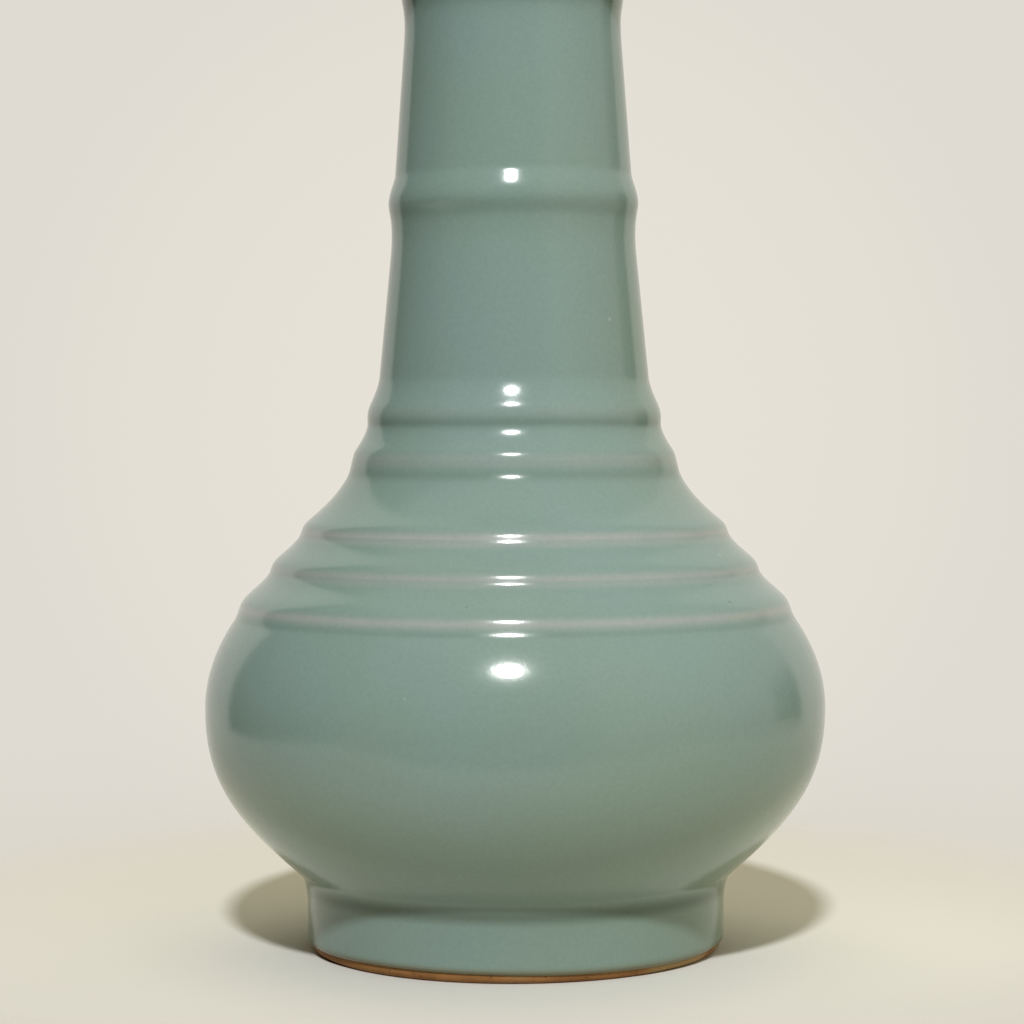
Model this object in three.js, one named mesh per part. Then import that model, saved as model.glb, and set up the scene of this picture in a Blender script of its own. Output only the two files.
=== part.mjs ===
// Dish-mouth celadon vase, in millimetres, +Z up. It stands on the plane z = 0 and its axis is Z.
// Five thrown clay sections are luted with slip at four joints, then coated with glaze outside, inside and
// under the base. Every piece is revolved from an outline of points that hold a radius and a height.

import * as THREE from 'three';
import { mergeVertices } from 'three/addons/utils/BufferGeometryUtils.js';

// Coats, joints and facets
const GLAZE = 1.0; // thickness of each glaze coat
const SLIP = 0.6; // thickness of the slip in each joint
const BOND_GAP = 0.05; // hairline between bonded pieces, so that each is a solid of its own
const FACETS = 32; // round the axis
const BELLY_STEPS = 5; // along the belly's outside
const CURVE_STEPS = 3; // along each other long curve
const EDGE_STEPS = 2; // round the foot's edge, the lip and the base
const CORNER_STEPS = 1; // round each other corner

// Ring foot: upright outside, flaring up to a sloping seat for the belly, bare on its rounded lower edge
const FOOT_RADIUS = 60.2;
const FOOT_HEIGHT = 21.0; // to the outer edge of the seat
const FOOT_WALL = 9.0;
const FOOT_FLARE = 1.7; // widening at the seat
const FOOT_FLARE_HEIGHT = 5.0;
const FOOT_EDGE_ROUND = 3.0; // lower outer edge, left bare
const FOOT_INNER_BEVEL = 1.0; // lower inner edge
const SEAT_DROP = 6.5; // from the seat's outer edge down to its inner edge

// Belly: a bowl from the seat up to the widest line
const BELLY_RADIUS = 89.0;
const BELLY_RISE = 46.4; // from the seat's outer edge to the widest line
const BELLY_WALL = 6.0;
const UNDER_ANGLE = 45.7; // degrees above level where the outside leaves the foot
const UNDER_REACH = 14.1; // how far the curve keeps that angle
const SIDE_REACH = 25.9; // how far the curve stays upright below the widest line
const BASE_SAG = 3.0; // underside of the base, below the seat's inner edge
const FLOOR_THICKNESS = 10.0;
const FLOOR_REACH = 58.0; // how far the inside floor stays level
const INNER_SIDE_REACH = 30.0; // how far the inside stays upright at the widest line and under the neck

// Shoulder: the belly closes in to the first rib, and hollow skirts step up from rib to rib.
// out: the crest's place between the neck joint, 0, and the widest line, 1.
// up: the crest's place between the widest line, 0, and the last crest, 1.
// riser: height of the step under the crest, as a share of the ribs' height. lean: its slant, per height.
// hollow: how far the skirt above the crest sinks below a straight line, as a share of that line.
const CLOSING_ANGLE = 57.3; // degrees above level where the belly's curve meets the first rib
const CLOSING_REACH = 9.4; // how far that curve keeps upright at its start and slanting at its end
const CREST_ROUND = 1.1; // cut back along both sides of each crest
const RIBS_HEIGHT = 72.25; // widest line to the last crest
const SHOULDER_RIBS = [
  { out: 0.7686, up: 0.4263, riser: 0.0927, lean: 0.448 },
  { out: 0.552, up: 0.5952, riser: 0.0747, lean: 0.63 },
  { out: 0.3822, up: 0.7322, riser: 0.0512, lean: 0.5, hollow: 0.061 },
  { out: 0.0849, up: 1, riser: 0.0519, lean: 0.213 },
];
const SHOULDER_TOP_RISE = 8.25; // last crest to the neck joint

// Neck: an upright collar, then two tapering stems that each flare to a rib like a bamboo node.
// out: place between the mouth joint's radius, 0, and the collar's, 1.
// up: place between the collar's crest, 0, and the last node, 1.
const COLLAR_RADIUS = 41.9; // at the neck joint
const COLLAR_HEIGHT = 5.45;
const COLLAR_LEAN = 0.5;
const NECK_WALL = 5.0;
const NODE_ROUND = 1.8; // cut back along both sides of each node
const WAIST_ROUND = 4.0; // cut back along both sides of each waist
const STEMS_HEIGHT = 120.4; // collar's crest to the last node
const NECK_STEMS = [
  {
    foot: { out: 0.7143, up: 0.0586 },
    waist: { out: 0.3655, up: 0.3933 },
    node: { out: 0.4496, up: 0.4946 },
  },
  {
    foot: { out: 0.2647, up: 0.5598 },
    waist: { out: 0.0168, up: 0.8954 },
    node: { out: 0.1092, up: 1 },
  },
];
const NECK_TOP_RADIUS = 30.0; // at the mouth joint
const NECK_TOP_RISE = 5.9; // last node to the mouth joint

// Dish mouth: a flared underside, a round heel and an upright rim with a round lip
const THROAT_REACH = 9.0; // how far the underside stays upright above the joint
const FLARE_ANGLE = 17.0; // degrees above level where the underside meets the heel
const FLARE_REACH = 16.0; // how far it keeps that angle
const HEEL_RADIUS = 55.2;
const HEEL_RISE = 14.4; // mouth joint to heel
const HEEL_ROUND = 4.5;
const RIM_RADIUS = 58.0;
const RIM_HEIGHT = 15.5; // heel to lip
const RIM_WALL = 4.8; // ends in a full round at the lip
const DISH_FLOOR = 5.0; // thickness above the heel
const DISH_FALL = 8.0; // slope of the dish's floor, from the rim down to the throat
const DISH_CORNER_ROUND = 5.0; // between the floor and the rim
const DISH_THROAT_ROUND = 5.5; // between the floor and the neck's bore

const stoneware = new THREE.MeshStandardMaterial({ color: 0xb9b2a3, roughness: 0.85, metalness: 0 });
const burntClay = new THREE.MeshStandardMaterial({ color: 0xa8764c, roughness: 0.8, metalness: 0 });
const slipClay = new THREE.MeshStandardMaterial({ color: 0xc6bfb0, roughness: 0.9, metalness: 0 });
const celadon = new THREE.MeshStandardMaterial({ color: 0x8ea69b, roughness: 0.12, metalness: 0 });

const at = (radius, height) => new THREE.Vector2(radius, height);

// A point on the straight line from one point to another, a given length along it.
function along(from, to, length) {
  return to.clone().sub(from).setLength(length).add(from);
}

// A corner cut back on both sides, by half of a side at most, and rounded in the given number of steps.
function rounded(before, corner, after, cut, steps) {
  const length = Math.min(cut, corner.distanceTo(before) / 2, corner.distanceTo(after) / 2);
  const start = along(corner, before, length);
  const end = along(corner, after, length);
  return new THREE.QuadraticBezierCurve(start, corner, end).getPoints(steps);
}

// A handle that sets a curve's direction at a point: a reach away, at an angle above level.
function handle(point, degrees, reach) {
  const angle = THREE.MathUtils.degToRad(degrees);
  return at(point.x + Math.cos(angle) * reach, point.y + Math.sin(angle) * reach);
}

// A curve between two points that leaves and arrives along the given handles.
function swept(from, leaving, arriving, to, steps) {
  return new THREE.CubicBezierCurve(from, leaving, arriving, to).getPoints(steps);
}

// The middle of a skirt, sunk below the straight line between its two ends by a share of that line.
function hollowMiddle(from, to, share) {
  const middle = from.clone().lerp(to, 0.5);
  const inward = at(from.y - to.y, to.x - from.x);
  return middle.addScaledVector(inward, share);
}

// The run of points that lies a distance to the right of another run, with mitred corners.
// Its two ends move along the given directions.
function beside(points, distance, startWay, endWay) {
  const normals = points.slice(1).map((point, i) => {
    const step = point.clone().sub(points[i]);
    return at(step.y, -step.x).normalize();
  });
  const mitres = normals.slice(1).map((normal, i) => {
    const sum = normals[i].clone().add(normal);
    return sum.multiplyScalar(2 / sum.lengthSq());
  });
  const ways = [startWay, ...mitres, endWay];
  return points.map((point, i) => point.clone().addScaledVector(ways[i], distance));
}

// A closed body from a closed outline. A side of the outline that lies on the axis is left out.
function revolved(name, outline, material) {
  const start = outline.findIndex((point, i) => point.x === 0 && outline.at(i - 1).x === 0);
  const run = start < 0 ? [...outline, outline[0]] : [...outline.slice(start), ...outline.slice(0, start)];
  const lathe = new THREE.LatheGeometry(run, FACETS).rotateX(Math.PI / 2);
  lathe.deleteAttribute('normal');
  lathe.deleteAttribute('uv');
  const geometry = mergeVertices(lathe);
  const corners = geometry.index.array;
  const kept = [];
  for (let i = 0; i < corners.length; i += 3) {
    const [a, b, c] = corners.slice(i, i + 3);
    const collapsed = a === b || b === c || c === a; // on the axis
    if (!collapsed) kept.push(a, b, c);
  }
  geometry.setIndex(kept);
  geometry.computeVertexNormals();
  const mesh = new THREE.Mesh(geometry, material);
  mesh.name = name;
  return mesh;
}

// Ring foot. Each section keeps its outside as a run upwards and its inside as a run downwards.
const seatRadius = FOOT_RADIUS + FOOT_FLARE;
const footInnerRadius = FOOT_RADIUS - FOOT_WALL;
const footInnerHeight = FOOT_HEIGHT - SEAT_DROP;
const footEdge = at(FOOT_RADIUS, 0);
const flareStart = at(FOOT_RADIUS, FOOT_HEIGHT - FOOT_FLARE_HEIGHT);
const standingRing = [at(footInnerRadius, FOOT_INNER_BEVEL), at(footInnerRadius + FOOT_INNER_BEVEL, 0)];
const bareEdge = rounded(standingRing[1], footEdge, flareStart, FOOT_EDGE_ROUND, EDGE_STEPS);
const bareTop = bareEdge.pop();
const foot = {
  outside: [bareTop, flareStart, at(seatRadius, FOOT_HEIGHT)],
  inside: [at(footInnerRadius, footInnerHeight), at(footInnerRadius, bareTop.y)],
};

// Belly, with the base inside the foot ring
const seat = at(seatRadius, FOOT_HEIGHT + SLIP);
const innerSeat = at(footInnerRadius, footInnerHeight + SLIP);
const base = at(0, innerSeat.y - BASE_SAG);
const baseEdge = at(footInnerRadius / 2, base.y);
const widest = at(BELLY_RADIUS, seat.y + BELLY_RISE);
const underHandle = handle(seat, UNDER_ANGLE, UNDER_REACH);
const sideHandle = at(widest.x, widest.y - SIDE_REACH);
const innerWidest = at(BELLY_RADIUS - BELLY_WALL, widest.y);
const floor = at(0, base.y + FLOOR_THICKNESS);
const floorHandle = at(FLOOR_REACH, floor.y);
const innerSideHandle = at(innerWidest.x, innerWidest.y - INNER_SIDE_REACH);
const belly = {
  outside: swept(seat, underHandle, sideHandle, widest, BELLY_STEPS),
  inside: swept(innerWidest, innerSideHandle, floorHandle, floor, CURVE_STEPS),
  underside: new THREE.QuadraticBezierCurve(base, baseEdge, innerSeat).getPoints(EDGE_STEPS),
};

// Shoulder
const shoulderFoot = at(widest.x, widest.y + SLIP);
const ribs = SHOULDER_RIBS.map(({ out, up, riser, lean, hollow }) => {
  const crestRadius = THREE.MathUtils.lerp(COLLAR_RADIUS, BELLY_RADIUS, out);
  const crest = at(crestRadius, shoulderFoot.y + RIBS_HEIGHT * up);
  const riserHeight = RIBS_HEIGHT * riser;
  const toe = at(crest.x + riserHeight * lean, crest.y - riserHeight);
  return { toe, crest, hollow };
});
const shoulderTop = at(COLLAR_RADIUS, ribs.at(-1).crest.y + SHOULDER_TOP_RISE);
const closingStart = at(shoulderFoot.x, shoulderFoot.y + CLOSING_REACH);
const closingEnd = handle(ribs[0].toe, -CLOSING_ANGLE, CLOSING_REACH);
const shoulderOutside = swept(shoulderFoot, closingStart, closingEnd, ribs[0].toe, CURVE_STEPS);
ribs.forEach(({ toe, crest, hollow }, i) => {
  const above = i + 1 < ribs.length ? ribs[i + 1].toe : shoulderTop;
  shoulderOutside.push(...rounded(toe, crest, above, CREST_ROUND, CORNER_STEPS));
  if (hollow) shoulderOutside.push(hollowMiddle(crest, above, hollow));
  shoulderOutside.push(above);
});
const innerTop = at(COLLAR_RADIUS - NECK_WALL, shoulderTop.y);
const innerFoot = at(innerWidest.x, shoulderFoot.y);
const shoulder = {
  outside: shoulderOutside,
  inside: swept(
    innerTop,
    at(innerTop.x, innerTop.y - INNER_SIDE_REACH),
    at(innerFoot.x, innerFoot.y + INNER_SIDE_REACH),
    innerFoot,
    CURVE_STEPS,
  ),
};

// Neck
const collarFoot = at(COLLAR_RADIUS, shoulderTop.y + SLIP);
const collarCrest = at(COLLAR_RADIUS - COLLAR_LEAN, collarFoot.y + COLLAR_HEIGHT);
function neckPoint({ out, up }) {
  const radius = THREE.MathUtils.lerp(NECK_TOP_RADIUS, COLLAR_RADIUS, out);
  return at(radius, collarCrest.y + STEMS_HEIGHT * up);
}
const stems = NECK_STEMS.map((stem) => ({
  stemFoot: neckPoint(stem.foot),
  waist: neckPoint(stem.waist),
  node: neckPoint(stem.node),
}));
const neckTop = at(NECK_TOP_RADIUS, stems.at(-1).node.y + NECK_TOP_RISE);
const collarEdge = rounded(collarFoot, collarCrest, stems[0].stemFoot, CREST_ROUND, CORNER_STEPS);
const neckOutside = [collarFoot, ...collarEdge];
stems.forEach(({ stemFoot, waist, node }, i) => {
  const above = i + 1 < stems.length ? stems[i + 1].stemFoot : neckTop;
  neckOutside.push(stemFoot);
  neckOutside.push(...rounded(stemFoot, waist, node, WAIST_ROUND, CORNER_STEPS));
  neckOutside.push(...rounded(waist, node, above, NODE_ROUND, CORNER_STEPS));
});
const inwards = (point) => at(point.x - NECK_WALL, point.y);
const neck = {
  outside: [...neckOutside, neckTop],
  inside: [neckTop, stems.at(-1).waist, stems[0].stemFoot, collarFoot].map(inwards),
};

// Dish mouth
const mouthFoot = at(NECK_TOP_RADIUS, neckTop.y + SLIP);
const heel = at(HEEL_RADIUS, mouthFoot.y + HEEL_RISE);
const rim = at(RIM_RADIUS, heel.y + RIM_HEIGHT);
const innerRim = at(rim.x - RIM_WALL, rim.y);
const dishCorner = at(heel.x - RIM_WALL, heel.y + DISH_FLOOR);
const innerMouth = inwards(mouthFoot);
const innerThroat = at(innerMouth.x, dishCorner.y - DISH_FALL);
const throatHandle = at(mouthFoot.x, mouthFoot.y + THROAT_REACH);
const flareHandle = handle(heel, FLARE_ANGLE, -FLARE_REACH);
const flare = swept(mouthFoot, throatHandle, flareHandle, heel, CURVE_STEPS).slice(0, -1);
const mouth = {
  outside: [
    ...flare,
    ...rounded(flare.at(-1), heel, rim, HEEL_ROUND, CORNER_STEPS),
    ...rounded(heel, rim, innerRim, RIM_WALL / 2, EDGE_STEPS),
  ],
  inside: [
    ...rounded(rim, innerRim, dishCorner, RIM_WALL / 2, EDGE_STEPS),
    ...rounded(innerRim, dishCorner, innerThroat, DISH_CORNER_ROUND, CORNER_STEPS),
    ...rounded(dishCorner, innerThroat, innerMouth, DISH_THROAT_ROUND, CORNER_STEPS),
    innerMouth,
  ],
};

// A ring of slip between the top of one section and the foot of the next.
function slipRing(name, lower, upper) {
  const above = (point) => at(point.x, point.y + BOND_GAP);
  const below = (point) => at(point.x, point.y - BOND_GAP);
  const top = [upper.outside[0], upper.inside.at(-1)].map(below);
  const bottom = [lower.inside[0], lower.outside.at(-1)].map(above);
  return revolved(name, [...top, ...bottom], slipClay);
}

// A glaze coat to the right of a run of clay.
function coat(name, clay, startWay, endWay) {
  const face = beside(clay, GLAZE, startWay, endWay);
  const back = beside(clay, BOND_GAP, startWay, endWay);
  return revolved(name, [...face, ...back.toReversed()], celadon);
}

// The coats meet on the lip and end in a slanting edge above the bare clay of the foot.
const up = at(0, 1);
const down = at(0, -1);
const outsideEdge = at(1, 1);
const insideEdge = at(-1, 1);
const coatedOutside = [foot, belly, shoulder, neck, mouth].flatMap((section) => section.outside);
const coatedInside = [mouth, neck, shoulder, belly].flatMap((section) => section.inside);
coatedInside[0].x -= BOND_GAP;
const coatedBase = [...belly.underside, foot.inside.at(-1)]; // straight down past the slip

const bellySeat = { outside: [seat], inside: [innerSeat] };
const vase = new THREE.Group();
vase.add(
  revolved('foot_ring', [...standingRing, ...bareEdge, ...foot.outside, ...foot.inside], burntClay),
  revolved('belly', [...belly.underside, ...belly.outside, ...belly.inside], stoneware),
  revolved('shoulder', [...shoulder.outside, ...shoulder.inside], stoneware),
  revolved('neck', [...neck.outside, ...neck.inside], stoneware),
  revolved('dish_mouth', [...mouth.outside, ...mouth.inside.slice(1)], stoneware),
  slipRing('foot_slip', foot, bellySeat),
  slipRing('belly_slip', belly, shoulder),
  slipRing('neck_slip', shoulder, neck),
  slipRing('mouth_slip', neck, mouth),
  coat('outer_glaze', coatedOutside, outsideEdge, up),
  coat('inner_glaze', coatedInside, up, up),
  coat('base_glaze', coatedBase, down, insideEdge),
);

export default vase;
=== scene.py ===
import math

import bpy
import numpy as np
from mathutils import Matrix, Vector


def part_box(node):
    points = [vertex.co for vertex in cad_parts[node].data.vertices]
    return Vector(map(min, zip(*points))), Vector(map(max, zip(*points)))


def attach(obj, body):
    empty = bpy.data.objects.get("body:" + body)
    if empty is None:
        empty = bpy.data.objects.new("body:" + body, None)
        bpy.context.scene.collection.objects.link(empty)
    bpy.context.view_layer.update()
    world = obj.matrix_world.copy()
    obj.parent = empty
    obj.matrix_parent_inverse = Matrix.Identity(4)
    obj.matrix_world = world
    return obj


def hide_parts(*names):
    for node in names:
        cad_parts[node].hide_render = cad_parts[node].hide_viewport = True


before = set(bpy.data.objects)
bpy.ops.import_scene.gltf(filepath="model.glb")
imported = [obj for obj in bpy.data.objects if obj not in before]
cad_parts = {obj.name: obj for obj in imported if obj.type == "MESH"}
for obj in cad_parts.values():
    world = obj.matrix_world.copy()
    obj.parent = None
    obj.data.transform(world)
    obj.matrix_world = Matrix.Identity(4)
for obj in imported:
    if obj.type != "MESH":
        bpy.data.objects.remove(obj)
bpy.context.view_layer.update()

MM = 0.001  # outlines are in millimetres, meshes and the stage in metres

# Ring foot
FOOT_RADIUS = 59.6
FOOT_HEIGHT = 21.9
FOOT_WALL = 9.0
FOOT_FLARE = 1.8  # how far its joint with the belly stands out past it
FILLET_DOWN = 8.5  # how far the hollow under the belly reaches down the foot
FILLET_UP = 3.0  # and up the belly
FOOT_EDGE_ROUND = 2.8
BARE_HEIGHT = 2.3  # where the glaze starts
FOOT_INNER_BEVEL = 1.0
BASE_GLAZE_FROM = 4.8  # where the glaze under the base starts on the foot's inside
SEAT_DROP = 6.5  # how much lower the joint lies on the inside
SLIP = 0.6  # thickness of each joint
SLIP_GAP = 0.05  # between a slip ring and the clay
SLIP_REACH = 0.82  # how much of the foot's joint its slip ring fills

# Belly. A reach is the length of a curve's handle.
BELLY_RADIUS = 88.8
BELLY_RISE = 47.3  # from the foot's joint to the widest line
BELLY_WALL = 6.0
UNDER_ANGLE = 41.15  # degrees at which the bowl leaves the foot
UNDER_REACH = 25.6
SIDE_REACH = 20.1
BASE_SAG = 3.0  # how much lower the base is in the middle
FLOOR_THICKNESS = 10.0
FLOOR_REACH = 58.0
INNER_SIDE_REACH = 30.0

# Shoulder. Each rib: crest radius, crest above the widest line, riser height, riser slant, how many degrees
# steeper than straight the slope above it starts and ends, how thin its glaze has drawn on the crest line,
# and how thin it has drawn below the crest and how far down.
CLOSING_ANGLE = 54.04  # degrees at which the belly runs in under the first rib
CLOSING_REACH = 9.16
SHOULDER_RIBS = (
    {
        "radius": 78.35, "up": 29.94, "riser": 4.54, "lean": 0.32,
        "slope": (3.8, 10.0), "line": 0.85, "band": (0.75, 1.3),
    },
    {
        "radius": 69.36, "up": 41.08, "riser": 2.87, "lean": 0.24,
        "slope": (-1.0, 11.1), "line": 0.8, "band": (0.42, 2.6),
    },
    {
        "radius": 60.49, "up": 51.88, "riser": 3.06, "lean": 0.27,
        "slope": (-9.1, 14.2), "line": 1.0, "band": (0.48, 3.0),
    },
    {
        "radius": 45.68, "up": 72.98, "riser": 6.35, "lean": 0.225,
        "slope": (-10.4, 13.7), "line": 0.4, "band": (0.3, 2.4),
    },
)
SLOPE_REACH = 0.36  # handles of a slope as a share of its length
SHOULDER_TOP_RISE = 8.28
CREST_BACK = 0.8  # how far a crest's rounding reaches down the riser
CREST_FORTH = 2.4  # and up the slope
TOE_BACK = 1.6  # how far a toe's rounding reaches down the slope below
TOE_FORTH = 1.0  # and up the riser

# Neck. Each stem: radius and height above the collar's crest of its foot, of its waist, of the groove under
# its node and of the node.
COLLAR_RADIUS = 41.48
COLLAR_HEIGHT = 5.09
COLLAR_LEAN = 0.665  # how far its crest stands in from its joint
COLLAR_BULGE = 1.05
COLLAR_SLOPE = (-5.6, 6.3)  # as for a rib
NECK_WALL = 5.0
WAIST_BACK = 4.6  # how far a waist's rounding reaches down the stem
WAIST_FORTH = 2.4  # and up to the groove
GROOVE_ROUND = 2.3
NODE_BACK = 1.8  # how far a node's rounding reaches down to the groove
NODE_FORTH = 3.2  # and up the next stem
NECK_STEMS = (
    {"foot": (38.25, 6.91), "waist": (34.34, 46.82), "groove": (34.52, 53.4), "node": (35.56, 58.76)},
    {"foot": (33.36, 65.5), "waist": (30.24, 108.0), "groove": (30.42, 112.9), "node": (31.42, 118.3)},
)
NECK_TOP_RADIUS = 30.0
NECK_TOP_RISE = 7.4

# Dish mouth
THROAT_REACH = 9.0
FLARE_ANGLE = 17.0  # degrees at which its underside comes out to the heel
FLARE_REACH = 16.0
HEEL_RADIUS = 55.2
HEEL_RISE = 13.4
HEEL_ROUND = 4.5
RIM_RADIUS = 58.0
RIM_HEIGHT = 14.4
RIM_WALL = 4.8
DISH_FLOOR = 5.0
DISH_FALL = 8.0  # how much lower the dish is at the throat
DISH_CORNER_ROUND = 5.0
DISH_THROAT_ROUND = 5.5

# Glaze
GLAZE = 1.0
GLAZE_BACK = 0.02  # hairline behind each coat
GLAZE_ROLL = 1.3  # length of the rounded edge at the bare foot
EDGE_START = 0.08  # thickness at that edge
EDGE_WAVE = 0.6  # how far that edge wanders up and down
EDGE_FADE = 6.0  # how far along the coat that has died away
EDGE_TINT = (0.1, 2.6)  # how far from it its brown starts to fade and where it ends

# Where the glaze has drawn thin
THIN_LOSS = 0.05  # share of the coat that runs off a thin place
LINE_DROP = 1.3  # how far below a crest's corner its thinnest line lies
LINE_REACH = 0.75  # half width of the thin line along a crest
BAND_START = 0.4  # how softly the thin band below it starts
BAND_END = 1.2  # and ends
COLLAR_THIN = {"line": 0.1, "band": (0.15, 3.0)}  # as for a rib
HEEL_THIN = {"line": 0.35, "band": (0.35, 5.0)}
LIP_THIN = 0.7
LIP_FADE = (0.88, 3.52)  # how far from the lip it starts to thicken and where it is full

# Where it has pooled, and where shade is painted in the same way as deeper glaze: how deep, from 0 to 1,
# and how far to both sides
POOL_GAIN = 0.05  # share of the coat that gathers in a groove
# at the rib toes, the collar's joint and under the nodes the deeper glaze is pooled glaze and also painted
# shade
FIRST_TOE_POOL_SHADE = (0.2, 0.5)
LAST_TOE_POOL_SHADE = (0.3, 1.2)
COLLAR_POOL_SHADE = (0.35, 1.1)
NODE_POOL_SHADE = (0.3, 1.6)
NODE_POOL_SHADE_PLACE = 0.25  # share of the way from the groove to the node
DISH_POOL = (0.8, 1.5)
# pooled glaze in the crease over the foot, and the belly's painted shadow on the foot just below it
CREASE_SHADE = (1.0, 1.8)
CREASE_SHADE_HEIGHT = 19.0
FOOT_SHADE = 0.2  # how deep the painted shade is on the foot's outer wall
FOOT_SHADE_FADE = (15.9, 25.9)  # how far along the coat that starts to fade and where it ends

# How the wheel and the kiln left it
THROWN_RADIUS = 0.25
THROWN_HEIGHT = 0.35
CALM_RADIUS = 20.0  # within it the unevenness fades towards the axis
WOBBLE_START = (24.0, 60.0)  # heights where lines round the vase start to go up and down, and do so fully
WOBBLE_END = (255.0, 290.0)  # and where they start to stop, and have stopped
THROWN_WAVES = 4
EDGE_WAVES = 9
EDGE_FIRST_WAVE = 2
MOST_WAVES = 10
DRIFT = 0.03  # radians that a wave may turn in each millimetre of height
SWAYS = 3
RADIUS_SWAY, HEIGHT_SWAY, EDGE_SWAY = range(SWAYS)
SEED = 11

# Mesh density
CURVE_STEPS = 24
CORNER_STEPS = 10
BEVEL_STEPS = 6
FOOT_EDGE_STEPS = 24
BOWL_STEPS = 80
CLOSING_STEPS = 48
BORE_STEPS = 60
UNDER_MOUTH_STEPS = 48
HEEL_SKIP = 8  # steps of the mouth's underside that the heel's rounding replaces
STEP = 0.35
SOFTNESS = 0.7
SOFT_SPAN = 3  # how many times the softness its reach goes to each side
FACE_EVERY = 2
BACK_EVERY = 8
CLAY_EVERY = 4
COAT_SEGMENTS = 288
FOOT_SEGMENTS = 144
CLAY_SEGMENTS = 96
ON_AXIS = 1e-6
SHARP_ANGLE = 50.0
RIM_MARGIN = 1.0  # how far above the rim a cut goes that takes in all of it

# Celadon. Colours are the 0 to 255 values seen on a screen. A span is two noise values between which one
# colour passes into the next.
CELADON = (129, 151, 145)
CELADON_BLUE = (127, 151, 149)
CELADON_GREEN = (127, 150, 139)
CELADON_PALE = (163, 168, 167)
CELADON_DEEP_SHADE = (94, 113, 102)
CELADON_EDGE = (108, 102, 74)
CLOUD_SCALE = 16.0
CLOUD_SPAN = (0.35, 0.65)
CLOUD_SHARE = 0.5  # how much of the plain celadon is laid over the clouds
MOTTLE_SCALE = 90.0
MOTTLE_SPAN = (-0.8, 0.7)
HAZE_SCALE = 900.0
HAZE_DEPTH = 0.16
HAZE_LEAST = 0.92
IRON_SPECK = (102, 120, 110)
PINHOLE = (158, 173, 165)
FLECK_SCALE = 70.0
FLECK_REACH = (0.06, 0.0)  # as a share of the distance between flecks
FLECK_SHARE = 0.14  # of the places where a fleck could be, for each kind
CELADON_ROUGHNESS = 0.14
CELADON_IOR = 1.5
CELADON_BUMP = {"Strength": 0.05, "Distance": 0.0002}

# Clay and slip
BURNT_DARK = (136, 92, 48)
BURNT_LIGHT = (156, 110, 62)
BURNT_TAN = (164, 136, 92)
BURNT_SPECK = (84, 54, 30)
BURNT_SCALE = 60.0
BURNT_SPAN = (0.35, 0.65)
TAN_SCALE = 28.0
TAN_SPAN = (0.5, 0.62)
SPECK_SCALE = 1400.0
SPECK_SPAN = (0.58, 0.72)
BURNT_ROUGHNESS = 0.8
BURNT_BUMP = {"Strength": 0.35, "Distance": 0.0003}
STONEWARE = ((170, 164, 150), (196, 189, 174))
SLIP_COLOURS = ((188, 182, 168), (208, 202, 188))
CLAY_SCALE = 500.0
CLAY_ROUGHNESS = 0.85
SMOOTH_NOISE = 2.0
PLAIN_NOISE = 3.0
GRAINY_NOISE = 4.0

# Stage: a pale floor that fades into a pale backdrop, one small key light above the camera and soft fill
FLOOR_FRONT = -0.26
FLOOR_BACK = 0.7
FLOOR_HALF_WIDTH = 0.43
FADE_CENTRE = (0.0, 0.06, 0.0)
FADE_SPAN = (0.12, 0.26)  # how far from there the floor starts to fade and where it is gone
FLOOR_COLOUR = (219, 218, 213)
FLOOR_BOUNCE = (214, 209, 190)  # the floor as it lights the vase
BACKDROP = (230, 225, 214)
BACKDROP_RIM = (223, 219, 210)
BACKDROP_LOW = (213, 209, 197)
KEY_ELEVATION = 43.0
KEY_TURN = 3.0  # degrees to the left of the camera
KEY_AIM = (0.0, 0.0, 0.09)
KEY_DISTANCE = 1.9
KEY_WIDTH = 0.166
KEY_TALL = 0.112
KEY_LEVEL = 0.86

# What surrounds the vase: how much of the backdrop shows there in the glaze, and the level that lights it.
# Its places are directions: degrees from the front, or how far a direction of length 1 points up or back.
ROOM = (0.13, 0.0)
LEFT = (0.0, 0.0)
CEILING = (0.45, 0.55)
PANEL = (0.64, 0.54)
GAP = (0.0, 0.0)
BEHIND = (1.0, 0.95)
FILL_TINT = (1.1, 1.0, 0.72)
BACKDROP_SPOT = (0.982, 0.999)  # back: where its bright middle starts and is full
BACKDROP_FOOT = (-0.22, -0.1)  # up: where its low part ends
LEFT_SPAN = (70.0, 129.0)  # the backdrop starts at its end
PANEL_RISE = (5.0, 40.0)
GAP_FROM = 109.0
GAP_FOOT = (-0.12, -0.07)  # up: where it starts and is full
GAP_TOP = (0.12, 0.3)  # up: where it starts to fade and where it ends
CEILING_FROM = 0.8
CEILING_SOFT = 0.05
SIDE_SOFT = 0.1
CARD_SOFT = 0.02
HORIZON_SOFT = 0.05
FLOOR_END = (2.5, 2.7)  # steps forward for one down, where the floor stops in front
FLOOR_SIDE = (5.8, 6.2)  # and at the sides
LEAST = 0.001  # keeps a division from zero
WHITE = (1.0, 1.0, 1.0, 1.0)

# Photo's camera
PHOTO_SIZE = 1024
FOCAL_PIXELS = 2804.0
SENSOR = 36.0
CAMERA_DISTANCE = 0.814
CAMERA_HEIGHT = 0.1527
CAMERA_TILT = 1.864
CAMERA_CLIP = 0.05
AXIS_PIXELS = 2.4
AXIS_LEAN = 0.213


def at(radius, height):
    return np.array((radius, height), float)


def curve(*controls, steps=CURVE_STEPS):
    """Points on a Bezier curve of any degree."""
    place = np.linspace(0, 1, steps + 1)[:, None]
    points = [np.tile(control, (steps + 1, 1)) for control in controls]
    while len(points) > 1:
        points = [a * (1 - place) + b * place for a, b in zip(points, points[1:])]
    return points[0]


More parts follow.
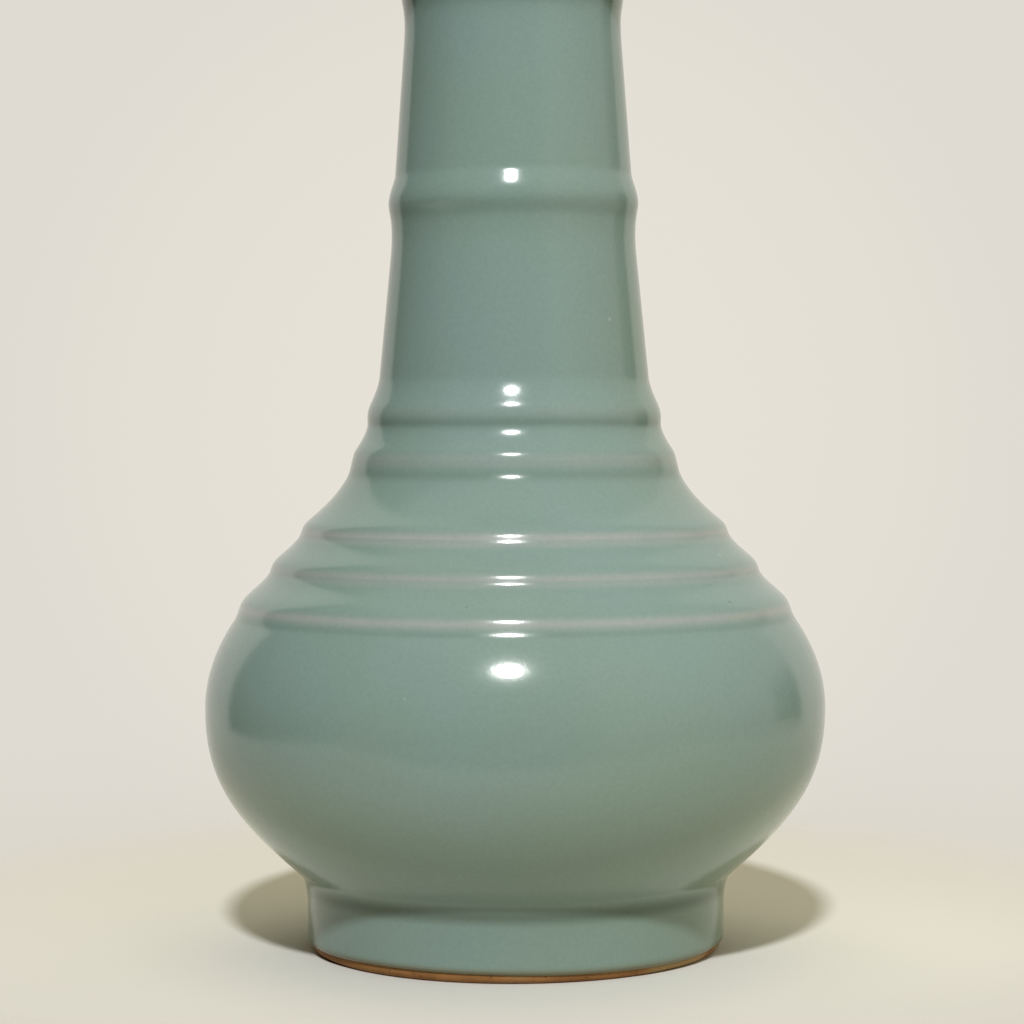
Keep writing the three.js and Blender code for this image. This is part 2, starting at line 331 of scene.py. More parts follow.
def corner(before, point, after, back, forth=None, steps=CORNER_STEPS):
    """A corner rounded from so far before it to as far or so far after it."""
    start = point + (before - point) * back / np.hypot(*(before - point))
    end = point + (after - point) * (forth or back) / np.hypot(*(after - point))
    return curve(start, point, end, steps=steps)


def handle(point, degrees, reach):
    angle = math.radians(degrees)
    return point + at(math.cos(angle), math.sin(angle)) * reach


def skirt(start, end, first, last):
    """A slope that starts and ends so many degrees steeper than the straight line up to its end."""
    straight = end - start
    angle = math.degrees(math.atan2(straight[1], straight[0]))
    reach = SLOPE_REACH * np.hypot(*straight)
    return curve(start, handle(start, angle - first, reach), handle(end, angle - last, -reach), end)


def trimmed(run, start, end):
    """A run without the points close to its first and last one."""
    return run[(np.hypot(*(run - run[0]).T) > start) & (np.hypot(*(run - run[-1]).T) > end)]


def resampled(points):
    """The same run of points at even spacing, with the length along it."""
    lengths = np.r_[0, np.cumsum(np.hypot(*np.diff(points, axis=0).T))]
    places = np.linspace(0, lengths[-1], round(lengths[-1] / STEP) + 1)
    return np.column_stack([np.interp(places, lengths, column) for column in points.T]), places


def softened(run):
    """The run with its corners eased, as thrown clay has them."""
    count = math.ceil(SOFT_SPAN * SOFTNESS / STEP)
    weights = np.exp(-0.5 * (np.arange(-count, count + 1) * STEP / SOFTNESS) ** 2)
    weights /= weights.sum()
    before = 2 * run[0] - run[count:0:-1]
    after = 2 * run[-1] - run[-2 : -count - 2 : -1]
    padded = np.vstack([before, run, after])
    return np.column_stack([np.convolve(column, weights, "valid") for column in padded.T])


def rightward(run):
    """Unit directions to the right of a run: out of the clay."""
    along = np.gradient(run, axis=0)
    return np.column_stack([along[:, 1], -along[:, 0]]) / np.hypot(*along.T)[:, None]


def every(count, step):
    """Every so many places of a run, with both its ends."""
    return np.unique(np.r_[np.arange(0, count, step), count - 1])


def slice_between(run, low, high):
    return run[(run[:, 1] >= low) & (run[:, 1] <= high)]


def place_of(point, run, places):
    """How far along a run the point nearest to a given one lies."""
    return places[np.argmin(np.hypot(*(run - point).T))]


def ease(low, high, value):
    share = np.clip((value - low) / (high - low), 0, 1)
    return share * share * (3 - 2 * share)


def foot_points():
    """Joint of the foot, its outer edge below and above the glaze's start, and its inside."""
    inner = FOOT_RADIUS - FOOT_WALL
    inner_edge = at(inner, 0)
    side = at(FOOT_RADIUS, FOOT_HEIGHT)
    edge = corner(inner_edge, at(FOOT_RADIUS, 0), side, FOOT_EDGE_ROUND, steps=FOOT_EDGE_STEPS)
    bare = edge[:, 1] < BARE_HEIGHT
    return {
        "seat": at(FOOT_RADIUS + FOOT_FLARE, FOOT_HEIGHT),
        "bare_edge": edge[bare],
        "glazed_edge": edge[~bare],
        "inner_seat": at(inner, FOOT_HEIGHT - SEAT_DROP),
        "inner_edge": inner_edge,
    }


def belly_points(foot):
    seat = foot["seat"] + at(0, SLIP)
    inner_seat = foot["inner_seat"] + at(0, SLIP)
    widest = at(BELLY_RADIUS, seat[1] + BELLY_RISE)
    base = at(0, inner_seat[1] - BASE_SAG)
    return {
        "seat": seat,
        "inner_seat": inner_seat,
        "widest": widest,
        "base": base,
        "floor": base + at(0, FLOOR_THICKNESS),
        "shoulder": widest + at(0, SLIP),
    }


def rib_points(belly):
    """Toe and crest of each shoulder rib."""
    ribs = []
    for rib in SHOULDER_RIBS:
        crest = at(rib["radius"], belly["shoulder"][1] + rib["up"])
        toe = crest + at(rib["riser"] * rib["lean"], -rib["riser"])
        ribs.append({"toe": toe, "crest": crest})
    return ribs


def neck_points(ribs):
    joint = at(COLLAR_RADIUS, ribs[-1]["crest"][1] + SHOULDER_TOP_RISE)
    collar = joint + at(-COLLAR_LEAN, SLIP + COLLAR_HEIGHT)
    stems = []
    for stem in NECK_STEMS:
        stems.append({key: at(radius, collar[1] + up) for key, (radius, up) in stem.items()})
    top = at(NECK_TOP_RADIUS, stems[-1]["node"][1] + NECK_TOP_RISE)
    return {"joint": joint, "collar": collar, "stems": stems, "top": top}


def mouth_points(neck):
    foot = neck["top"] + at(0, SLIP)
    heel = at(HEEL_RADIUS, foot[1] + HEEL_RISE)
    rim = at(RIM_RADIUS, heel[1] + RIM_HEIGHT)
    dish_corner = heel + at(-RIM_WALL, DISH_FLOOR)
    inner = foot - at(NECK_WALL, 0)
    return {
        "foot": foot,
        "heel": heel,
        "rim": rim,
        "inner_rim": rim - at(RIM_WALL, 0),
        "corner": dish_corner,
        "throat": at(inner[0], dish_corner[1] - DISH_FALL),
        "inner": inner,
    }


def body_outside(foot, belly, ribs, neck):
    """Clay outside from the bare foot edge up to the neck joint."""
    shoulder = belly["shoulder"]
    under = handle(belly["seat"], UNDER_ANGLE, UNDER_REACH)
    side = belly["widest"] - at(0, SIDE_REACH)
    closing = handle(ribs[0]["toe"], -CLOSING_ANGLE, CLOSING_REACH)
    crease = at(FOOT_RADIUS, belly["seat"][1] - FOOT_FLARE * math.tan(math.radians(UNDER_ANGLE)))
    bowl = curve(belly["seat"], under, side, belly["widest"], steps=BOWL_STEPS)
    bowl = bowl[np.hypot(*(bowl - crease).T) > FILLET_UP]
    closing_run = curve(
        shoulder, shoulder + at(0, CLOSING_REACH), closing, ribs[0]["toe"], steps=CLOSING_STEPS
    )
    parts = [
        foot["glazed_edge"],
        curve(crease - at(0, FILLET_DOWN), crease, bowl[0]),
        bowl[1:],
        trimmed(closing_run, 0, TOE_BACK),
    ]
    aboves = [rib["toe"] for rib in ribs[1:]] + [neck["joint"]]
    for rib, above, shape in zip(ribs, aboves, SHOULDER_RIBS):
        slope = trimmed(skirt(rib["crest"], above, *shape["slope"]), CREST_FORTH, TOE_BACK)
        parts.append(corner(parts[-1][-1], rib["toe"], rib["crest"], TOE_BACK, TOE_FORTH))
        parts.append(corner(rib["toe"], rib["crest"], slope[0], CREST_BACK, CREST_FORTH))
        parts.append(slope)
    return np.vstack(parts + [[neck["joint"]]])


def neck_outside(neck):
    """Clay outside from the neck joint up to the mouth joint."""
    stems = neck["stems"]
    feet = [stem["foot"] for stem in stems[1:]] + [neck["top"]]
    swell = (neck["joint"] + neck["collar"]) / 2 + at(COLLAR_BULGE, 0)
    parts = [
        curve(neck["joint"], swell, neck["collar"])[1:-1],
        skirt(neck["collar"], stems[0]["foot"], *COLLAR_SLOPE),
    ]
    for stem, above in zip(stems, feet):
        parts.append(corner(stem["foot"], stem["waist"], stem["groove"], WAIST_BACK, WAIST_FORTH))
        parts.append(corner(stem["waist"], stem["groove"], stem["node"], GROOVE_ROUND))
        parts.append(corner(stem["groove"], stem["node"], above, NODE_BACK, NODE_FORTH))
        parts.append([above])
    return np.vstack(parts)


def mouth_run(mouth):
    """Clay from the mouth joint out to the lip, and from the lip down to the neck's bore."""
    throat = mouth["foot"] + at(0, THROAT_REACH)
    flare = handle(mouth["heel"], FLARE_ANGLE, -FLARE_REACH)
    under = curve(mouth["foot"], throat, flare, mouth["heel"], steps=UNDER_MOUTH_STEPS)[:-HEEL_SKIP]
    lip = RIM_WALL / 2
    outside = [
        under,
        corner(under[-1], mouth["heel"], mouth["rim"], HEEL_ROUND),
        corner(mouth["heel"], mouth["rim"], mouth["inner_rim"], lip),
    ]
    inside = [
        corner(mouth["rim"], mouth["inner_rim"], mouth["corner"], lip),
        corner(mouth["inner_rim"], mouth["corner"], mouth["throat"], DISH_CORNER_ROUND),
        corner(mouth["corner"], mouth["throat"], mouth["inner"], DISH_THROAT_ROUND),
        [mouth["inner"]],
    ]
    return np.vstack(outside), np.vstack(inside)


def bore(belly, neck, mouth):
    """Clay inside from the neck's bore down to the middle of the floor."""
    wall = at(NECK_WALL, 0)
    stems = neck["stems"]
    top = neck["joint"] - wall
    side = belly["widest"] - at(BELLY_WALL, 0)
    reach = at(0, INNER_SIDE_REACH)
    floor = at(FLOOR_REACH, belly["floor"][1])
    return np.vstack([
        [mouth["inner"], stems[-1]["waist"] - wall, stems[0]["foot"] - wall],
        curve(top, top - reach, side + reach, side, steps=BORE_STEPS),
        curve(side, side - reach, floor, belly["floor"], steps=BORE_STEPS),
    ])


def underside(foot, belly):
    """Clay under the base, from its middle out to the foot's inside."""
    middle = at(foot["inner_edge"][0] / 2, belly["base"][1])
    return curve(belly["base"], middle, belly["inner_seat"])


def clay_run(foot, belly, ribs, neck, mouth):
    """The whole glazed face of the clay, from the bare foot edge over the lip to the inside floor."""
    mouth_outside, mouth_inside = mouth_run(mouth)
    points = np.vstack([
        body_outside(foot, belly, ribs, neck),
        neck_outside(neck),
        mouth_outside,
        mouth_inside[1:],
        bore(belly, neck, mouth)[1:],
    ])
    run, places = resampled(points)
    return softened(run), places


def thinness(run, places, ribs, neck, mouth):
    """From 0 to 1 along the run: where the glaze has drawn away from a crest or the lip."""
    thin = np.zeros(len(run))
    crests = [(rib["crest"], shape) for rib, shape in zip(ribs, SHOULDER_RIBS)]
    crests += [(neck["collar"], COLLAR_THIN), (mouth["heel"], HEEL_THIN)]
    for crest, shape in crests:
        amount, reach = shape["band"]
        below = place_of(crest, run, places) - LINE_DROP - places
        band = ease(-BAND_START, BAND_START, below) * (1 - ease(reach - BAND_END, reach + BAND_END, below))
        thin = np.maximum(thin, shape["line"] * np.exp(-0.5 * (below / LINE_REACH) ** 2))
        thin = np.maximum(thin, amount * band)
    lip = (mouth["rim"] + mouth["inner_rim"]) / 2
    from_lip = np.abs(places - place_of(lip, run, places))
    return np.maximum(thin, LIP_THIN * (1 - ease(*LIP_FADE, from_lip)))


def pooling(run, places, ribs, neck, mouth):
    """From 0 to 1 along the run: where the glaze has gathered in a groove, and painted shade laid on the
    same way in the crease over the foot, on the foot's wall, at two rib toes, at the collar's joint and
    under the nodes.
    """
    pools = [
        # pooled glaze in the crease, and the belly's painted shadow on the top of the foot
        (at(FOOT_RADIUS, CREASE_SHADE_HEIGHT), CREASE_SHADE),
        # pooled glaze that also paints the shade at these toes, the collar's joint and under the nodes
        (ribs[0]["toe"], FIRST_TOE_POOL_SHADE),
        (ribs[-1]["toe"], LAST_TOE_POOL_SHADE),
        (neck["joint"], COLLAR_POOL_SHADE),
        (mouth["corner"], DISH_POOL),
    ]
    for stem in neck["stems"]:
        pools.append((stem["groove"] + (stem["node"] - stem["groove"]) * NODE_POOL_SHADE_PLACE, NODE_POOL_SHADE))
    # painted shade on the foot's outer wall, fading out as the coat goes up
    pool = FOOT_SHADE * (1 - ease(*FOOT_SHADE_FADE, places))
    for point, (amount, reach) in pools:
        away = places - place_of(point, run, places)
        pool = np.maximum(pool, amount * np.exp(-0.5 * (away / reach) ** 2))
    return pool


PHASES = np.random.default_rng(SEED).uniform(0, 2 * math.pi, (SWAYS, MOST_WAVES))
DRIFTS = np.random.default_rng(SEED + 1).uniform(-DRIFT, DRIFT, (SWAYS, MOST_WAVES))


def sway(which, angle, height, waves=THROWN_WAVES, first=1):
    """A smooth uneven line round the axis, from -1 to 1, that changes slowly with the height."""
    total = 0.0
    for i in range(waves):
        turn = (first + i) * angle + PHASES[which, i] + DRIFTS[which, i] * height
        total = total + np.sin(turn) / (1 + i)
    return total / sum(1 / (1 + i) for i in range(waves))


def thrown(radius, height, angle):
    """Where a point of the ideal form sits on the thrown vase."""
    inward = THROWN_RADIUS * (1 + sway(RADIUS_SWAY, angle, height)) / 2
    inward = inward * np.minimum(1, radius / CALM_RADIUS)
    free = ease(*WOBBLE_START, height) * (1 - ease(*WOBBLE_END, height))
    return radius - inward, height + THROWN_HEIGHT * free * sway(HEIGHT_SWAY, angle, height)


def placed(name, data):
    """A new object in the scene."""
    made = bpy.data.objects.new(name, data)
    bpy.context.scene.collection.objects.link(made)
    return made


def revolve(name, outline, segments, wave=None, **values):
    """A closed mesh from a closed outline of radius and height. wave: how far each point follows
    the wandering glaze edge. values: one number for each point, kept as attributes of the mesh."""
    angles = np.arange(segments) * 2 * math.pi / segments
    on_axis = outline[:, 0] < ON_AXIS
    sizes = np.where(on_axis, 1, segments)
    starts = np.r_[0, np.cumsum(sizes)[:-1]]
    owner = np.repeat(np.arange(len(outline)), sizes)
    turn = angles[np.arange(len(owner)) - starts[owner]]
    radius, height = thrown(outline[owner, 0], outline[owner, 1], turn)
    radius = np.where(on_axis[owner], 0, radius)
    if wave is not None:
        height = height + wave[owner] * sway(EDGE_SWAY, turn, 0, waves=EDGE_WAVES, first=EDGE_FIRST_WAVE)
    vertices = np.column_stack([radius * np.cos(turn), radius * np.sin(turn), height]) * MM
    mesh = bpy.data.meshes.new(name)
    mesh.from_pydata(vertices.tolist(), [], ring_faces(starts, on_axis, segments))
    mesh.polygons.foreach_set("use_smooth", [True] * len(mesh.polygons))
    mesh.set_sharp_from_angle(angle=math.radians(SHARP_ANGLE))
    for key, numbers in values.items():
        attribute = mesh.attributes.new(key, "FLOAT", "POINT")
        attribute.data.foreach_set("value", numbers[owner].astype(np.float32))
    return placed(name, mesh)


def ring_faces(starts, on_axis, segments):
    """Faces between the rings of a revolved outline. A ring on the axis is one point."""
    step = np.arange(segments)
    following = (step + 1) % segments
    faces = []
    for i in range(len(starts)):
        j = (i + 1) % len(starts)
        a, b = starts[i], starts[j]
        if on_axis[i] and on_axis[j]:
            continue
        if on_axis[i]:
            ring = np.column_stack([np.full(segments, a), b + following, b + step])
        elif on_axis[j]:
            ring = np.column_stack([a + step, a + following, np.full(segments, b)])
        else:
            ring = np.column_stack([a + step, a + following, b + following, b + step])
        faces.extend(ring.tolist())
    return faces


def dressed(piece, material, slot, *nodes):
    """Gives a piece its material and its place in the part."""
    piece.data.materials.append(material)
    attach(piece, "root")
    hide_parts(*nodes)
    return piece


def cleared(owner):
    """The empty node tree of a material or a world."""
    owner.use_nodes = True
    owner.node_tree.nodes.clear()
    return owner.node_tree


def add(tree, kind, inputs=None, **settings):
    """A node with its settings, and its sockets set or linked."""
    made = tree.nodes.new(kind)
    for key, value in settings.items():
        setattr(made, key, value)
    for socket, value in (inputs or {}).items():
        if isinstance(value, bpy.types.NodeSocket):
            tree.links.new(value, made.inputs[socket])
        else:
            made.inputs[socket].default_value = value
    return made


def colour(shade):
    """A linear colour from the 0 to 255 values seen on a screen."""
    linear = []
    for value in shade:
        share = value / 255
        linear.append(share / 12.92 if share <= 0.04045 else ((share + 0.055) / 1.055) ** 2.4)
    return (*linear, 1.0)


def blend(tree, factor, first, second, kind="MIX"):
    inputs = {0: factor, 6: first, 7: second}
    return add(tree, "ShaderNodeMix", inputs, data_type="RGBA", blend_type=kind).outputs[2]


def sum_up(tree, operation, *values):
    made = add(tree, "ShaderNodeMath", dict(enumerate(values)), operation=operation)
    return made.outputs[0]


def product(tree, *values):
    total = values[0]
    for value in values[1:]:
        total = sum_up(tree, "MULTIPLY", total, value)
    return total


def between(tree, value, low, high):
    """0 on the low side of two values, 1 on the high side and smooth between them."""
    made = add(tree, "ShaderNodeMapRange", {0: value, 1: low, 2: high}, interpolation_type="SMOOTHSTEP")
    return made.outputs[0]


def noise(tree, where, scale, detail=PLAIN_NOISE):
    made = add(tree, "ShaderNodeTexNoise", {"Vector": where, "Scale": scale, "Detail": detail})
    return made.outputs["Fac"]


def kept(tree, name):
    """A number that revolve kept on the mesh."""
    return add(tree, "ShaderNodeAttribute", attribute_name=name).outputs["Fac"]


def material_of(name, roughness):
    material = bpy.data.materials.new(name)
    tree = cleared(material)
    shader = add(tree, "ShaderNodeBsdfPrincipled", {"Roughness": roughness})
    add(tree, "ShaderNodeOutputMaterial", {"Surface": shader.outputs[0]})
    where = add(tree, "ShaderNodeTexCoord").outputs["Object"]
    return material, tree, shader, where


def add_bump(tree, shader, height, bump):
    made = add(tree, "ShaderNodeBump", {"Height": height, **bump})
    tree.links.new(made.outputs[0], shader.inputs["Normal"])


def flecked(tree, where, body):
    """Adds a few iron specks and pinholes to a colour."""
    flecks = add(tree, "ShaderNodeTexVoronoi", {"Vector": where, "Scale": FLECK_SCALE})
    near = between(tree, flecks.outputs["Distance"], *FLECK_REACH)
    draw = add(tree, "ShaderNodeSeparateColor", {0: flecks.outputs["Color"]}).outputs[0]
    speck = sum_up(tree, "LESS_THAN", draw, FLECK_SHARE)
    pinhole = sum_up(tree, "GREATER_THAN", draw, 1 - FLECK_SHARE)
    body = blend(tree, product(tree, near, speck), body, colour(IRON_SPECK))
    return blend(tree, product(tree, near, pinhole), body, colour(PINHOLE))


def celadon():
    """Thick soft-looking gloss that pales where it is thin and deepens where it has pooled and where shade
    is painted into it.
    """
    material, tree, shader, where = material_of("celadon", CELADON_ROUGHNESS)
    cloud = between(tree, noise(tree, where, CLOUD_SCALE, SMOOTH_NOISE), *CLOUD_SPAN)
    mottle = between(tree, noise(tree, where, MOTTLE_SCALE), *MOTTLE_SPAN)
    fine = noise(tree, where, HAZE_SCALE, SMOOTH_NOISE)
    body = blend(tree, cloud, colour(CELADON_BLUE), colour(CELADON_GREEN))
    body = blend(tree, CLOUD_SHARE, body, colour(CELADON))
    body = blend(tree, product(tree, kept(tree, "thin"), mottle), body, colour(CELADON_PALE))
    # deeper glaze where it has pooled, and painted shade in the crease over the foot, on the foot's wall,
    # at rib toes, at the collar and under the nodes
    body = blend(tree, kept(tree, "pool"), body, colour(CELADON_DEEP_SHADE))
    body = blend(tree, kept(tree, "edge"), body, colour(CELADON_EDGE))
    body = flecked(tree, where, body)
    haze = sum_up(tree, "MULTIPLY_ADD", fine, HAZE_DEPTH, HAZE_LEAST)
    tree.links.new(blend(tree, 1.0, body, haze, "MULTIPLY"), shader.inputs["Base Color"])
    shader.inputs["IOR"].default_value = CELADON_IOR
    add_bump(tree, shader, fine, CELADON_BUMP)
    return material


def burnt_clay():
    """Bare foot clay, burnt orange in the kiln."""
    material, tree, shader, where = material_of("burnt_clay", BURNT_ROUGHNESS)
    patch = between(tree, noise(tree, where, BURNT_SCALE), *BURNT_SPAN)
    tan = between(tree, noise(tree, where, TAN_SCALE), *TAN_SPAN)
    grain = noise(tree, where, SPECK_SCALE, GRAINY_NOISE)
    body = blend(tree, patch, colour(BURNT_DARK), colour(BURNT_LIGHT))
    body = blend(tree, tan, body, colour(BURNT_TAN))
    body = blend(tree, between(tree, grain, *SPECK_SPAN), body, colour(BURNT_SPECK))
    tree.links.new(body, shader.inputs["Base Color"])
    add_bump(tree, shader, grain, BURNT_BUMP)
    return material


def grey_clay(name, dark, light):
    """Stoneware or slip under the glaze."""
    material, tree, shader, where = material_of(name, CLAY_ROUGHNESS)
    grain = noise(tree, where, CLAY_SCALE, GRAINY_NOISE)
    tree.links.new(blend(tree, grain, colour(dark), colour(light)), shader.inputs["Base Color"])
    return material


def rolled(from_edge):
    """How thick a coat is so far from its rounded edge."""
    share = np.clip(from_edge / GLAZE_ROLL, 0, 1)
    return EDGE_START + (GLAZE - EDGE_START) * np.sqrt(1 - (1 - share) ** 2)


def coat_outline(run, out, thick, face_every):
    """Outline of a coat on a run, with the place on the run of each of its points."""
    front = every(len(run), face_every)
    rear = every(len(run), BACK_EVERY)[::-1]
    face = run + out * thick[:, None]
    back = run + out * GLAZE_BACK
    outline = np.vstack([face[front], back[rear]])
    outline[:, 0] = np.maximum(outline[:, 0], 0)
    return outline, np.r_[front, rear]


def add_coat(run, places, thin, pool, material):
    """The glaze over the outside, the lip and the inside, as one closed coat."""
    out = rightward(run)
    out[-1] = (0, 1)
    thick = rolled(places) * (1 - THIN_LOSS * thin + POOL_GAIN * pool)
    outline, order = coat_outline(run, out, thick, FACE_EVERY)
    wave = EDGE_WAVE * (1 - ease(0, EDGE_FADE, places))
    edge = 1 - ease(*EDGE_TINT, places)
    values = {"thin": thin[order], "pool": pool[order], "edge": edge[order]}
    piece = revolve("glaze_coat", outline, COAT_SEGMENTS, wave[order], **values)
    return dressed(piece, material, "celadon_glaze", "outer_glaze", "inner_glaze")


def add_base_coat(foot, belly, material):
    """The glaze under the base, inside the foot ring."""
    end = at(foot["inner_edge"][0], BASE_GLAZE_FROM)
    run, places = resampled(np.vstack([underside(foot, belly), [end]]))
    run = softened(run)
    out = rightward(run)
    out[0] = (0, -1)
    from_edge = places[-1] - places
    outline, order = coat_outline(run, out, rolled(from_edge), CLAY_EVERY)
    edge = 1 - ease(*EDGE_TINT, from_edge)
    plain = np.zeros(len(order))
    piece = revolve("glaze_base", outline, CLAY_SEGMENTS, edge=edge[order], thin=plain, pool=plain)
    return dressed(piece, material, "celadon_glaze", "base_glaze")


def add_foot(foot, outside, material):
    """The ring foot, bare on its rounded edge and standing face."""
    inner = foot["inner_edge"]
    bevel_start = inner + at(0, FOOT_INNER_BEVEL)
    bevel_end = inner + at(FOOT_INNER_BEVEL, 0)
    outline = np.vstack([
        curve(bevel_start, inner, bevel_end, steps=BEVEL_STEPS),
        foot["bare_edge"],
        slice_between(outside, 0, FOOT_HEIGHT),
        [foot["inner_seat"]],
    ])
    return dressed(revolve("foot_clay", outline, FOOT_SEGMENTS), material, "burnt_foot", "foot_ring")


def add_foot_slip(foot, material):
    """The slip between the foot and the belly, kept a little way in from the outside."""
    inner = foot["inner_seat"]
    outer = inner + (foot["seat"] - inner) * SLIP_REACH
    low = at(0, SLIP_GAP)
    high = at(0, SLIP - SLIP_GAP)
    outline = np.vstack([inner + low, outer + low, outer + high, inner + high])
    return dressed(revolve("foot_slip_ring", outline, CLAY_SEGMENTS), material, "slip", "foot_slip")


def joint_heights(name):
    """Where a slip ring that is kept from the frame starts and ends."""
    return [point[2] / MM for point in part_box(name)]


def add_clay(foot, belly, mouth, outside, inside, material):
    """The thrown sections under the glaze."""
    widest = joint_heights("belly_slip")
    joint = joint_heights("neck_slip")
    top = joint_heights("mouth_slip")
    sections = (
        ("belly", belly["seat"][1], widest[0]),
        ("shoulder", widest[1], joint[0]),
        ("neck", joint[1], top[0]),
        ("dish_mouth", top[1], mouth["rim"][1] + RIM_MARGIN),
    )
    for node, low, high in sections:
        outer = slice_between(outside, low, high)[::CLAY_EVERY]
        if node == "belly":
            inner = slice_between(inside, 0, high)[::CLAY_EVERY]
            inner[-1] = belly["floor"]
            outline = np.vstack([underside(foot, belly), outer, inner])
        else:
            outline = np.vstack([outer, slice_between(inside, low, high)[::CLAY_EVERY]])
        piece = revolve(node + "_clay", outline, CLAY_SEGMENTS)
        dressed(piece, material, "stoneware", node)


def add_vase():
    foot = foot_points()
    belly = belly_points(foot)
    ribs = rib_points(belly)
    neck = neck_points(ribs)
    mouth = mouth_points(neck)
    run, places = clay_run(foot, belly, ribs, neck, mouth)
    thin = thinness(run, places, ribs, neck, mouth)
    pool = pooling(run, places, ribs, neck, mouth)
    glaze = celadon()
    stoneware = grey_clay("stoneware", *STONEWARE)
    slip = grey_clay("slip", *SLIP_COLOURS)
    add_coat(run, places, thin, pool, glaze)
    add_base_coat(foot, belly, glaze)
    lip = np.argmax(run[:, 1])
    add_foot(foot, run[:lip], burnt_clay())
    add_clay(foot, belly, mouth, run[: lip + 1], run[lip:], stoneware)
    add_foot_slip(foot, slip)
    for name in ("belly_slip", "neck_slip", "mouth_slip"):
        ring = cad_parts[name]
        ring.data.materials.clear()
        ring.data.materials.append(slip)


def shown_to(path):
    """1 for the rays that meet the background: the camera's, mirrored ones and ones through glass."""
    tree = path.id_data
    seen = sum_up(tree, "MAXIMUM", path.outputs["Is Camera Ray"], path.outputs["Is Glossy Ray"])
    return sum_up(tree, "MAXIMUM", seen, path.outputs["Is Transmission Ray"])


def add_floor():
    """A sheet that fades into the background far from the vase and keeps its shadow."""
    mesh = bpy.data.meshes.new("floor")
    side = FLOOR_HALF_WIDTH
    front = [(-side, FLOOR_FRONT, 0), (side, FLOOR_FRONT, 0)]
    back = [(side, FLOOR_BACK, 0), (-side, FLOOR_BACK, 0)]
    mesh.from_pydata(front + back, [], [(0, 1, 2, 3)])
    floor = placed("floor", mesh)
    material = bpy.data.materials.new("floor")
    tree = cleared(material)
    where = add(tree, "ShaderNodeTexCoord").outputs["Object"]
    path = add(tree, "ShaderNodeLightPath")
    away = add(tree, "ShaderNodeVectorMath", {0: where, 1: FADE_CENTRE}, operation="DISTANCE")
    far = between(tree, away.outputs["Value"], *FADE_SPAN)
    gone = product(tree, far, shown_to(path))
    tone = blend(tree, path.outputs["Is Diffuse Ray"], colour(FLOOR_COLOUR), colour(FLOOR_BOUNCE))
    paper = add(tree, "ShaderNodeBsdfDiffuse", {"Color": tone})
    clear = add(tree, "ShaderNodeBsdfTransparent")
    surface = add(tree, "ShaderNodeMixShader", {0: gone, 1: paper.outputs[0], 2: clear.outputs[0]})
    add(tree, "ShaderNodeOutputMaterial", {"Surface": surface.outputs[0]})
    mesh.materials.append(material)


def facing_of(degrees):
    """How far back a level direction so many degrees from the front points, from -1 to 1."""
    return -math.cos(math.radians(degrees))


def past(tree, facing, degrees):
    """1 behind a direction so many degrees from the front, 0 before it."""
    return between(tree, facing, facing_of(degrees) - CARD_SOFT, facing_of(degrees) + CARD_SOFT)


def backdrop(tree, y, z):
    """The pale background, brightest behind the vase and dimmer round it and low down."""
    seen = blend(tree, between(tree, y, *BACKDROP_SPOT), colour(BACKDROP_RIM), colour(BACKDROP))
    return blend(tree, between(tree, z, *BACKDROP_FOOT), colour(BACKDROP_LOW), seen)


def surroundings(tree, x, y, z):
    """What surrounds the vase in a dim room: where it is and its level, each over those before it."""
    flat = sum_up(tree, "SQRT", sum_up(tree, "ADD", product(tree, x, x), product(tree, y, y)))
    facing = sum_up(tree, "DIVIDE", y, sum_up(tree, "MAXIMUM", flat, LEAST))
    behind = past(tree, facing, LEFT_SPAN[1])
    before = sum_up(tree, "SUBTRACT", 1.0, behind)
    overhead = between(tree, z, CEILING_FROM - CEILING_SOFT, CEILING_FROM + CEILING_SOFT)
    below = sum_up(tree, "SUBTRACT", 1.0, overhead)
    left = product(tree, between(tree, x, 0.0, -SIDE_SOFT), past(tree, facing, LEFT_SPAN[0]), before)
    rise = between(tree, facing, *(facing_of(degrees) for degrees in PANEL_RISE))
    right = product(tree, between(tree, x, 0.0, SIDE_SOFT), rise, before)
    opening = product(tree, between(tree, z, *reversed(GAP_TOP)), between(tree, z, *GAP_FOOT))
    gap = product(tree, right, past(tree, facing, GAP_FROM), opening)
    return (
        (overhead, CEILING),
        (product(tree, left, below), LEFT),
        (product(tree, right, below), PANEL),
        (gap, GAP),
        (behind, BEHIND),
    )


def paper_ahead(tree, x, y, z):
    """Where a mirrored direction still meets the paper that the vase stands on."""
    down = sum_up(tree, "MINIMUM", z, -LEAST)
    forward = sum_up(tree, "DIVIDE", y, down)
    aside = sum_up(tree, "ABSOLUTE", sum_up(tree, "DIVIDE", x, down))
    ahead = between(tree, forward, *reversed(FLOOR_END))
    within = between(tree, aside, *reversed(FLOOR_SIDE))
    return product(tree, ahead, within, between(tree, z, 0.0, -HORIZON_SOFT))


def fill_of(level):
    """The light that one of the surroundings gives."""
    return [level[1] * tint for tint in FILL_TINT] + [1.0]


def share_of(level):
    """How much of the background shows in the glaze where one of the surroundings is."""
    return [level[0]] * 3 + [1.0]


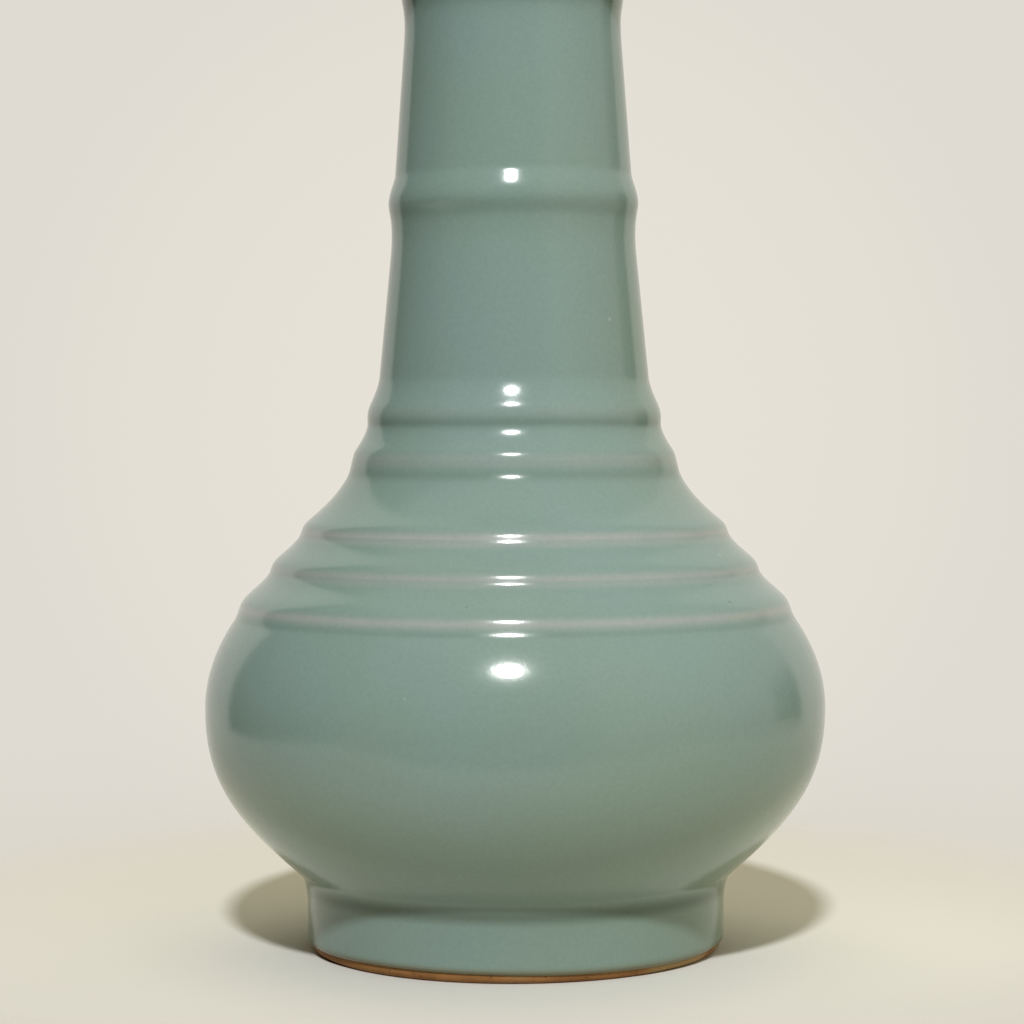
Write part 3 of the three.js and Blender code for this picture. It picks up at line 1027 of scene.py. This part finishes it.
def add_world():
    """The background that the camera sees all round. In the glaze it shows dimmed by a dark card on the
    left, a panel with a gap on the right, a ceiling and a dim room. Other rays meet the fill light."""
    world = bpy.data.worlds.new("studio")
    bpy.context.scene.world = world
    tree = cleared(world)
    way = add(tree, "ShaderNodeTexCoord").outputs["Generated"]
    x, y, z = add(tree, "ShaderNodeSeparateXYZ", {0: way}).outputs
    path = add(tree, "ShaderNodeLightPath")
    fill, share = fill_of(ROOM), share_of(ROOM)
    for mask, level in surroundings(tree, x, y, z):
        fill = blend(tree, mask, fill, fill_of(level))
        share = blend(tree, mask, share, share_of(level))
    share = blend(tree, paper_ahead(tree, x, y, z), share, WHITE)
    share = blend(tree, path.outputs["Is Camera Ray"], share, WHITE)
    shown = blend(tree, 1.0, backdrop(tree, y, z), share, "MULTIPLY")
    final = blend(tree, shown_to(path), fill, shown)
    background = add(tree, "ShaderNodeBackground", {"Color": final, "Strength": 1.0})
    add(tree, "ShaderNodeOutputWorld", {"Surface": background.outputs[0]})


def add_key():
    """A small oval light above the camera. Its power gives white paper that faces it the key's level."""
    light = bpy.data.lights.new("key", "AREA")
    light.shape = "ELLIPSE"
    light.size = KEY_WIDTH
    light.size_y = KEY_TALL
    light.energy = math.pi ** 2 * KEY_LEVEL * KEY_DISTANCE ** 2
    key = placed("key", light)
    angle = math.radians(KEY_ELEVATION)
    turn = math.radians(KEY_TURN)
    level = math.cos(angle)
    back = Vector((-math.sin(turn) * level, -math.cos(turn) * level, math.sin(angle)))
    key.location = Vector(KEY_AIM) + back * KEY_DISTANCE
    key.rotation_mode = "QUATERNION"
    key.rotation_quaternion = (-back).to_track_quat("-Z", "Y")


def add_camera():
    data = bpy.data.cameras.new("camera")
    data.sensor_width = SENSOR
    data.lens = FOCAL_PIXELS / PHOTO_SIZE * SENSOR
    data.clip_start = CAMERA_CLIP
    camera = placed("camera", data)
    place = Matrix.Translation((0, -CAMERA_DISTANCE, CAMERA_HEIGHT))
    turn = Matrix.Rotation(math.atan(AXIS_PIXELS / FOCAL_PIXELS), 4, "Z")
    tilt = Matrix.Rotation(math.radians(90 - CAMERA_TILT), 4, "X")
    roll = Matrix.Rotation(math.radians(-AXIS_LEAN), 4, "Z")
    camera.matrix_world = place @ turn @ tilt @ roll
    bpy.context.scene.camera = camera


add_vase()
add_floor()
add_world()
add_key()
add_camera()
bpy.context.scene.view_settings.view_transform = "Standard"
